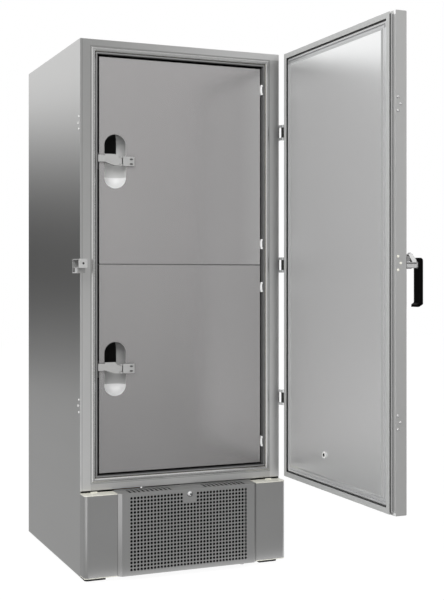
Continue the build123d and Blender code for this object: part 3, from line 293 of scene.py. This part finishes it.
# The grille is the same sheet, with painted light on its top and painted shade on the cut edges in its holes
# and slots.
punched_sheet = plinth_sheet.copy()
punched_sheet.name = "plinth_punched_stainless"
hole_pitch = 0.01315
lowest_row = 0.033425
hole_rim = 0.366  # in pitches
slot_pitch = 0.0175
slot_half = 0.2286  # in pitches
slots_from = 0.0625
place, way = spots(punched_sheet)
across = maths("ABSOLUTE", place["X"])
forward = under(way["Y"], -0.5)
upward = over(way["Z"], 0.5)
cut = all_of(under(across, 0.242), under(maths("ABSOLUTE", way["Y"]), 0.5), under(way["Z"], 0.98))
# Each punched hole is drawn in by a rim of painted shade; there is none round the lock.
column = maths("FRACT", maths("DIVIDE", place["X"], hole_pitch))
row = maths("FRACT", maths("DIVIDE", maths("SUBTRACT", place["Z"], lowest_row), hole_pitch))
lock_place = all_of(over(place["Z"], 0.2701), under(across, 0.0263))
rim = all_of(disc(column, row, (0.5, 0.5), hole_rim), under(across, 0.2367), near(place["Z"], 0.1715, 0.138),
             forward, maths("SUBTRACT", 1.0, lock_place))
# The top's slots, in two groups of ten, have painted shade to their ends.
bar = maths("FRACT", maths("DIVIDE", maths("SUBTRACT", across, slots_from), slot_pitch))
slot = all_of(near(bar, 0.5, slot_half), near(across, 0.15, 0.0875), near(place["Y"], -0.034, 0.028), upward)
stain(punched_sheet, upward, "#c4c4c3", 0.6)
stain(punched_sheet, slot, "#1a1a1a", 0.9)
stain(punched_sheet, cut, "#050505")
stain(punched_sheet, rim, "#0c0c0c")
dress(punched_sheet, "plinth_grille")
# Moulded plastic: an even cream with a soft gloss.
pale_abs = finish("moulded_cream_abs", "#e4e2d6", "#ecebe0", (60, 60, 60), (0.35, 0.45),
                  (1.4, 1.4, 1.4), 0.02)
dress(pale_abs, "cheek_caps")
# The lock's face is painted as a low dome: a painted highlight at its upper left and along its edge, and
# painted shade at its rim and keyway.
painted_dome_chrome = finish("turned_chrome_painted_dome", "#dcdddd", "#e6e7e7", (20, 20, 20), (0.06, 0.1), (6, 6, 6),
                      0.005, metallic=1.0, edge_mm=5.0, edge_highlight=0.3)
place, way = spots(painted_dome_chrome)
lit_round = disc(place["X"], place["Z"], (-0.002, 0.305), 0.0098)
stain(painted_dome_chrome, maths("SUBTRACT", 1.0, lit_round), "#2a2a2a", 0.8)
stain(painted_dome_chrome, disc(place["X"], place["Z"], (-0.003, 0.306), 0.0062), "#ffffff", 0.9, paint=True)
stain(painted_dome_chrome, disc(place["X"], place["Z"], (0.0034, 0.302), 0.0032), "#141414", 0.9)
dress(painted_dome_chrome, "lock_barrel")

# Striker: a pocketed casting fixed to the left side, where the handle's claw closes.
# It is taken to be zinc with a bright plating, paler and more even than the sheet behind it.
zinc_plate = finish("bright_zinc_plate", "#c2c2c1", "#cacac9", (25, 25, 25), (0.28, 0.34),
                    (1.5, 1.5, 1.5), 0.01, metallic=0.45, edge_mm=1.0, edge_highlight=0.4)
# Painted shade darkens its screw hole and pocket and dulls its low shelf, painted light brightens its tongue,
# and its edges get a painted highlight.
pocket_left = -0.4294
place, way = spots(zinc_plate)
hole = all_of(disc(place["X"], place["Z"], (-0.413, 1.1665), 0.0042), under(place["Y"], -0.064))
pocket = all_of(over(place["X"], pocket_left), under(place["X"], -0.4065), over(place["Y"], -0.0705),
                over(way["Y"], -0.5))
shelf = all_of(under(place["Z"], 1.1495), under(way["Y"], -0.5))
tongue = all_of(under(way["X"], -0.5), under(place["Z"], 1.15), under(place["X"], pocket_left))
stain(zinc_plate, hole, "#3a3a3a")
stain(zinc_plate, pocket, "#5e5e5e", 0.85)
stain(zinc_plate, shelf, "#8c8c8b", 0.7)
stain(zinc_plate, tongue, "#ffffff", 0.8)
dress(zinc_plate, "striker")

# Outer hinges: three hinges between the cabinet's right side and the outer door.
# The ears look like chrome-plated castings; the plates behind them and the barrels are given painted shade.
hinge_chrome = finish("chrome_plated_hinge_ears", "#d0d1d2", "#dadbdc", (50, 50, 50), (0.07, 0.12), (6, 6, 6),
                      0.01, metallic=1.0, edge_mm=1.2)
place, way = spots(hinge_chrome)
stain(hinge_chrome, over(place["X"], 0.4165), "#1e1e1e", 0.9)
stain(hinge_chrome, over(place["Y"], 0.0005), "#303030", 0.9)
dress(hinge_chrome, "hinge_cabinet_leaves")
# Painted shade: the barrels are a nearly black steel, with a soft sheen.
dark_barrel = finish("shade_dark_hinge_barrel", "#262626", "#303030", (20, 20, 20), (0.3, 0.4), (2, 2, 2),
                     0.01, metallic=0.6)
dress(dark_barrel, "hinge_door_leaves")

# Domed plugs: push-in covers over spare screw holes on the left side and the door's free edge.
# Metal on the door's edge, white on the left side, cream plastic beside the handle.
domed_steel = finish("turned_domed_stainless", "#cececd", "#d6d6d5", (20, 20, 20), (0.14, 0.2), (4, 4, 4),
                     0.005, metallic=0.6, edge_mm=0)
# Each dome has a painted highlight on its left and painted shade on its right and underside.
place, way = spots(domed_steel)
stain(domed_steel, under(way["X"], -0.15), "#ffffff", 0.9)
stain(domed_steel, over(way["X"], 0.3), "#3c3c3c", 0.8)
stain(domed_steel, under(way["Z"], -0.25), "#3c3c3c", 0.8)
dress(domed_steel, "edge_plugs")
# Moulded white: a clean bright spot.
white_cap = finish("moulded_white_cap", "#f2f2f0", "#f8f8f6", (20, 20, 20), (0.25, 0.32), (2, 2, 2), 0.005,
                   edge_mm=2.0)
dress(white_cap, "side_plugs")
dress(pale_abs, "handle_plugs")

# Outer door: a folded stainless pan filled with foam, with a flush inner panel inside a banded rim.
# A soft bellows gasket runs round it. On the outer face, a control panel and its window are inferred.
pan_sheet = finish("satin_304_door_sheet", "#c5c5c4", "#cdcdcc", (240, 240, 700), (0.28, 0.34),
                   (2.4, 2.4, 300), 0.004, metallic=0.82, edge_mm=2.0, edge_highlight=0.2)
# Painted light brightens its faces that face left, painted shade darkens its outer edge, its corners on the
# free side show white, and its edges get a painted highlight.
place, way = spots(pan_sheet)
stain(pan_sheet, under(way["X"], -0.5), "#c9c9c8", 0.8, paint=True)
stain(pan_sheet, over(place["X"], 0.467), "#565656", 0.6)
for end in (over(place["Z"], 1.981), under(place["Z"], 0.342)):
    stain(pan_sheet, all_of(end, under(place["Y"], -0.8195), under(place["X"], 0.4262)), "#ffffff")
dress(pan_sheet, "door_pan")
# Bright panel sheet: a soft mirror under a pale veil.
polished_panel = finish("lacquered_bright_sheet", "#f9fafa", "#fdfefe", (700, 700, 900), (0.29, 0.30),
                        (260, 3.0, 3.0), 0.0, metallic=0.79, edge_mm=0)
# Painted shade darkens its slopes, and its forward and downward faces, by the way they face.
place, way = spots(polished_panel)
stain(polished_panel, all_of(over(way["X"], -0.97), over(way["Z"], -0.3)), "#b4b5b5", 0.7)
stain(polished_panel, under(way["Y"], -0.3), "#6c6d6d", 0.43)
stain(polished_panel, all_of(under(way["Z"], -0.3), ramp(place["Y"], -0.5, -0.75)), "#808181", 0.5)
dress(polished_panel, "door_liner")
# Rim sheet: a duller mirror than the panel, darker along its head.
rolled_rim = finish("rolled_rim_sheet", "#e6e7e7", "#ecedee", (400, 400, 900), (0.30, 0.31), (40, 40, 200),
                    0.0, metallic=0.6, edge_mm=0)
place, way = spots(rolled_rim)
stain(rolled_rim, over(place["Z"], 1.9435), "#7a7b7b", 0.41)
dress(rolled_rim, "liner_rim")
# Soft plastic: the lip is pale and the bellows grey; painted shade makes the neck behind the lip dark and the
# foot darker again.
soft_gasket = finish("extruded_grey_tpe", "#b8b9b8", "#bebfbe", (60, 60, 300), (0.5, 0.6), (1.5, 1.5, 90),
                     0.01, edge_mm=0)
place, way = spots(soft_gasket)
behind = over(place["X"], 0.4064)
stain(soft_gasket, behind, "#a0a0a0", 0.8)
stain(soft_gasket, all_of(behind, under(place["X"], 0.4142)), "#161616", 0.95)
stain(soft_gasket, over(place["X"], 0.4206), "#5a5858", 0.7)
dress(soft_gasket, "door_gasket")
# Inner door seals: a darker grey rubber.
dark_seal = finish("moulded_grey_silicone", "#6e6e6e", "#767676", (60, 60, 300), (0.55, 0.65),
                   (1.5, 1.5, 90), 0.01, edge_mm=0)
dress(dark_seal, "inner_upper_gasket", "inner_lower_gasket")
# The valve ring is white in front; painted shade makes it grey on its side and dark in its bore.
white_acetal = finish("moulded_white_acetal", "#f8f8f6", "#fdfdfc", (30, 30, 30), (0.3, 0.4),
                      (1.2, 1.2, 1.2), 0.01)
place, way = spots(white_acetal)
stain(white_acetal, over(way["X"], -0.6), "#b8b8b8", 0.8)
stain(white_acetal, disc(place["Y"], place["Z"], (-0.3824, 0.4693), 0.0066), "#1c1c1c")
dress(white_acetal, "valve_ring")
# Moulded grey plastic, and a dark glossy window in it.
control_abs = finish("moulded_grey_abs", "#6f7275", "#787b7e", (60, 60, 60), (0.42, 0.52),
                     (1.2, 1.2, 1.2), 0.04)
dress(control_abs, "control_panel")
dark_window = finish("smoked_acrylic_window", "#0c0f12", "#10141a", (80, 80, 80), (0.05, 0.08), (8, 8, 8),
                     0.002)
dress(dark_window, "display_glass")

# Handle: a black grip on a bright housing at the door's free edge, with a claw that closes on the striker.
# The grip looks moulded and the metal pieces cast and plated.
polished_claw = finish("polished_chrome_claw", "#ececec", "#f4f4f4", (20, 20, 20), (0.16, 0.22), (5, 5, 5),
                       0.002, metallic=0.4, edge_mm=0)
# It is bright in front; painted shade darkens its other faces.
place, way = spots(polished_claw)
stain(polished_claw, over(way["Y"], -0.5), "#4a4a4a", 0.7)
dress(polished_claw, "handle_claw")
# Painted shade darkens the housing in bands: a line at its groove, its foot and its lugs.
housing_chrome = finish("chrome_plated_housing", "#c8c8c8", "#d2d2d2", (20, 20, 20), (0.14, 0.2), (5, 5, 5),
                        0.002, metallic=0.55, edge_mm=0)
place, way = spots(housing_chrome)
stain(housing_chrome, near(place["Z"], 1.1632, 0.0022), "#1c1c1c", 0.8)
stain(housing_chrome, under(place["Z"], 1.1488), "#3a3a3a", 0.7)
stain(housing_chrome, over(place["Z"], 1.169), "#5c5c5c", 0.6)
dress(housing_chrome, "latch_housing")
# Textured black plastic: it returns almost no light.
grip_nylon = finish("spark_textured_black_nylon", "#010101", "#030303", (25, 25, 25), (0.42, 0.5), (1, 1, 1),
                    0.03, edge_highlight=0.02)
grip_nylon.node_tree.nodes["Principled BSDF"].inputs["Specular IOR Level"].default_value = 0.05
dress(grip_nylon, "handle_grip")

# Inner doors: two doors, each a polished stainless skin folded round foam, with a finger dish.
# The long panels show slow changes of light, as bright sheet does; these are painted into their colour.
inner_sheet = finish("rolled_bright_stainless", "#b6b4b4", "#bebcbc", (500, 500, 900), (0.19, 0.2),
                     (240, 240, 600), 0.0, metallic=0.75)
# Painted shade darkens it towards the foot and the lower right, painted light brightens the upper hinge side,
# and its edges are painted black as shade.
place, way = spots(inner_sheet)
lower = ramp(place["Z"], 1.3, 0.4)
stain(inner_sheet, lower, "#7e7e7e", 0.3)
stain(inner_sheet, all_of(over(place["Z"], opening_middle), ramp(place["X"], 0.24, 0.33)), "#ffffff", 0.15)
stain(inner_sheet, all_of(lower, ramp(place["X"], -0.1, 0.32)), "#6a6462", 0.18)
stain(inner_sheet, under(maths("ABSOLUTE", way["Y"]), 0.5), "#040404")
dress(inner_sheet, "inner_upper_skin", "inner_lower_skin")

# Finger dishes: a bright cup pressed into each skin, with a black patch over its upper left quarter.
# The cup is a half capsule in a thin shell; the black quarter may come from how the photograph was made.
dish_levels = {"upper": 1.548, "lower": 0.774}
dish_x = -0.267
dish_radius = 0.0425
dish_straight = 0.0585
skin_front = 0.0124
bend_steps = 12
straight_steps = 6
turn_steps = 32


def dish_shell(name, middle, turn, rise, material, sink):
    """Makes part of a half capsule: it turns from the left rim to the right and rises from the foot."""
    radius = dish_radius - sink
    upper_bend = bend_steps + straight_steps
    made = bmesh.new()
    rows = []
    for step in range(rise[0], rise[1] + 1):
        if step <= bend_steps:
            tilt = math.radians(90 * (step - bend_steps) / bend_steps)
            level = -dish_straight
        elif step <= upper_bend:
            tilt = 0.0
            level = dish_straight * (2 * (step - bend_steps) / straight_steps - 1)
        else:
            tilt = math.radians(90 * (step - upper_bend) / bend_steps)
            level = dish_straight
        around = max(radius * math.cos(tilt), 0.0002)
        height = middle + level + radius * math.sin(tilt)
        row = []
        for part in range(turn[0], turn[1] + 1):
            swing = math.pi * part / turn_steps
            row.append(made.verts.new((dish_x - around * math.cos(swing),
                                       skin_front + around * math.sin(swing), height)))
        rows.append(row)
    for low, high in zip(rows, rows[1:]):
        for at in range(len(low) - 1):
            made.faces.new((low[at], high[at], high[at + 1], low[at + 1]))
    bmesh.ops.recalc_face_normals(made, faces=made.faces)
    mesh = bpy.data.meshes.new(name)
    made.to_mesh(mesh)
    made.free()
    mesh.materials.append(material)
    for face in mesh.polygons:
        face.use_smooth = True
    shell = bpy.data.objects.new(name, mesh)
    bpy.context.scene.collection.objects.link(shell)
    wall = shell.modifiers.new("wall", "SOLIDIFY")
    wall.thickness = 0.0003
    wall.offset = 0.0
    return shell


# Drawn bright sheet: fine stretch marks soften what it mirrors.
drawn_cup = finish("deep_drawn_bright_stainless", "#d4d4d3", "#dcdcdb", (60, 60, 120), (0.42, 0.5),
                   (2, 2, 30), 0.002, metallic=0.45)
# Painted shade darkens the lower cup and the head of each cup against its middle, and painted light makes
# each cup's foot bright.
place, way = spots(drawn_cup)
stain(drawn_cup, under(place["Z"], 1.1), "#8a8a8a", 0.5)
for middle in dish_levels.values():
    head = ramp(place["Z"], middle + 0.03, middle + 0.07)
    stain(drawn_cup, all_of(near(place["Z"], middle, 0.15), head), "#808080", 0.75)
    stain(drawn_cup, near(place["Z"], middle - 0.08, 0.0215), "#ffffff", 0.85)
# Black patch: matt, with a fine stipple.
black_quarter_patch = finish("stippled_black_quarter_patch", "#060606", "#0b0b0b", (20, 20, 20), (0.7, 0.8), (1, 1, 1),
                  0.02, edge_highlight=0.02)
black_quarter_patch.node_tree.nodes["Principled BSDF"].inputs["Specular IOR Level"].default_value = 0.15
rise_steps = 2 * bend_steps + straight_steps
black_patch_turn = (0, 20)
black_patch_rise = (rise_steps // 2, rise_steps)
for door, middle in dish_levels.items():
    cup = dish_shell(f"dish_cup_{door}", middle, (0, turn_steps), (0, rise_steps), drawn_cup, 0.0004)
    black_patch = dish_shell(f"dish_black_patch_{door}", middle, black_patch_turn, black_patch_rise, black_quarter_patch, 0.0012)
    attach(cup, f"inner_{door}_door")
    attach(black_patch, f"inner_{door}_door")

# Latch bases and levers: a base beside each dish, held by two screws, and a lever that reaches the keeper.
# They look like castings with a pale grey coat.
pale_casting = finish("pale_grey_powder_coat", "#a6a6a5", "#aeaead", (40, 40, 40), (0.4, 0.5),
                      (1.6, 1.6, 1.6), 0.01, edge_mm=1.5, edge_highlight=0.15)
# The screw heads are dark spots, about twice as wide as tall.
screw_x = -0.207
screw_squash = 0.52
screw_radius = 0.0034
place, way = spots(pale_casting)
for middle in dish_levels.values():
    for rise in (0.009, -0.0085):
        narrowed = maths("MULTIPLY", place["X"], screw_squash)
        head = disc(narrowed, place["Z"], (screw_x * screw_squash, middle + rise), screw_radius)
        stain(pale_casting, head, "#343434", 0.9)
# Painted shade darkens upper and under faces, a dark joint shows between lever and base, and hinge barrels
# are white.
stain(pale_casting, over(maths("ABSOLUTE", way["Z"]), 0.7), "#3c3c3c", 0.85)
stain(pale_casting, near(place["X"], -0.2405, 0.0013), "#3c3c3c", 0.85)
stain(pale_casting, over(place["X"], 0.3), "#ffffff", 0.9)
dress(pale_casting, "inner_upper_fittings", "inner_lower_fittings", "inner_upper_lever", "inner_lower_lever")

# Studio: a white floor, reflector cards that only the metal sees, soft lamps and a white surround.
# The cards stand for the dark and light sides of the room that the polished sheet mirrors.
def quad(name, corners, material):
    """Makes a flat card of four corners that belongs to the studio."""
    mesh = bpy.data.meshes.new(name)
    mesh.from_pydata(corners, [], [(0, 1, 2, 3)])
    mesh.materials.append(material)
    made = bpy.data.objects.new(name, mesh)
    bpy.context.scene.collection.objects.link(made)
    return made


def glow(name, stops):
    """Makes a card's light: a run of brightness over the height in metres."""
    material = bpy.data.materials.new(name)
    material.use_nodes = True
    tree = material.node_tree
    tree.nodes.clear()
    height = node(tree, "SeparateXYZ", {0: node(tree, "NewGeometry").outputs["Position"]}).outputs["Z"]
    low, high = stops[0][0], stops[-1][0]
    run = node(tree, "MapRange", {"Value": height, "From Min": low, "From Max": high})
    ramp = node(tree, "ValToRGB", {"Fac": run.outputs[0]})
    ramp.color_ramp.interpolation = "B_SPLINE"
    marks = ramp.color_ramp.elements
    while len(marks) < len(stops):
        marks.new(0.5)
    for mark, (at, level) in zip(marks, stops):
        mark.position = (at - low) / (high - low)
        mark.color = (level, level, level, 1.0)
    light = node(tree, "Emission", {"Color": ramp.outputs[0], "Strength": 1.0})
    node(tree, "OutputMaterial", {"Surface": light.outputs[0]})
    return material


def mirror_only(card):
    """Lets only mirror rays see a card."""
    card.visible_camera = False
    card.visible_diffuse = False
    card.visible_shadow = False
    card.visible_transmission = False
    card.visible_volume_scatter = False


def seen_straight(tree):
    """Masks what the camera, a mirror or a glass sees, apart from the light that it gives."""
    path = node(tree, "LightPath").outputs
    straight = maths("MAXIMUM", path["Is Camera Ray"], path["Is Glossy Ray"])
    return maths("MAXIMUM", straight, path["Is Transmission Ray"])


floor_paint = bpy.data.materials.new("white_studio_floor")
floor_paint.use_nodes = True
tree = floor_paint.node_tree
tree.nodes.clear()
share = maths("MULTIPLY", seen_straight(tree), 0.86)
matt = node(tree, "BsdfDiffuse", {"Color": (0.8, 0.8, 0.8, 1.0)})
white = node(tree, "Emission", {"Color": (1.0, 1.0, 1.0, 1.0), "Strength": 1.1})
mixed = node(tree, "MixShader", {0: share, 1: matt.outputs[0], 2: white.outputs[0]})
node(tree, "OutputMaterial", {"Surface": mixed.outputs[0]})
quad("studio_floor", [(-14, -14, 0), (14, -14, 0), (14, 14, 0), (-14, 14, 0)], floor_paint)

back_left = glow("room_behind_left", [(-0.5, 0.44), (0.2, 0.30), (0.9, 0.09), (1.5, 0.08), (2.2, 0.22),
                                      (2.8, 0.78), (3.1, 0.98), (3.5, 2.3), (6.0, 2.4)])
mirror_only(quad("card_behind_left", [(-9.0, 4.5, -0.5), (-9.0, 4.5, 6.0), (0.5, 9.5, 6.0),
                                      (0.5, 9.5, -0.5)], back_left))
floor_left = glow("floor_behind_left", [(-1.0, 0.46), (1.0, 0.46)])
mirror_only(quad("card_floor_left", [(-6.0, -0.3, 0.002), (-0.4, -0.3, 0.002), (0.5, 9.4, 0.002),
                                     (-9.0, 4.4, 0.002)], floor_left))
front_right = glow("room_before_right", [(-0.5, 0.46), (0.5, 0.5), (1.5, 0.52), (2.5, 0.54), (4.0, 0.6),
                                         (6.0, 0.7)])
mirror_only(quad("card_before_right", [(-1.0, -8.0, -0.5), (8.5, -5.0, -0.5), (8.5, -5.0, 6.0),
                                       (-1.0, -8.0, 6.0)], front_right))
floor_right = glow("floor_before_right", [(-1.0, 0.44), (1.0, 0.44)])
mirror_only(quad("card_floor_right", [(-1.0, -7.9, 0.002), (8.4, -4.9, 0.002), (6.0, -0.15, 0.002),
                                      (-0.6, -0.15, 0.002)], floor_right))
before_left = glow("room_before_left", [(-0.5, 0.42), (6.0, 0.46)])
mirror_only(quad("card_before_left", [(-9.0, -5.0, -0.5), (-1.2, -8.0, -0.5), (-1.2, -8.0, 6.0),
                                      (-9.0, -5.0, 6.0)], before_left))

world = bpy.data.worlds.new("white_room")
bpy.context.scene.world = world
world.use_nodes = True
tree = world.node_tree
tree.nodes.clear()
level = node(tree, "MapRange", {"Value": seen_straight(tree), "To Min": 0.5, "To Max": 1.0})
sky = node(tree, "Background", {"Color": (1.0, 1.0, 1.0, 1.0), "Strength": level.outputs[0]})
node(tree, "OutputWorld", {"Surface": sky.outputs[0]})


def soft_lamp(name, place, aim, size, watts):
    """Hangs a soft box at a place, turned to a point; the metal doesn't mirror it."""
    lamp = bpy.data.lights.new(name, "AREA")
    lamp.shape = "SQUARE"
    lamp.size = size
    lamp.energy = watts
    made = bpy.data.objects.new(name, lamp)
    bpy.context.scene.collection.objects.link(made)
    made.location = place
    made.rotation_euler = (Vector(aim) - Vector(place)).to_track_quat("-Z", "Y").to_euler()
    made.visible_glossy = False


soft_lamp("key_box", (-3.0, -3.5, 4.2), (0.0, 0.0, 1.0), 2.5, 180.0)
soft_lamp("fill_box", (3.5, -4.0, 3.0), (0.0, 0.0, 1.0), 2.5, 60.0)

camera = bpy.data.cameras.new("photo_camera")
camera.lens = 67.417
camera.sensor_width = 36.0
camera.sensor_fit = "AUTO"
camera.shift_y = -0.0405
view = bpy.data.objects.new("photo_camera", camera)
bpy.context.scene.collection.objects.link(view)
view.location = (-1.54149, -3.99940, 1.12179)
view.rotation_euler = (math.radians(90), 0.0, math.radians(-23.0569))
bpy.context.scene.camera = view
bpy.context.scene.view_settings.view_transform = "Standard"
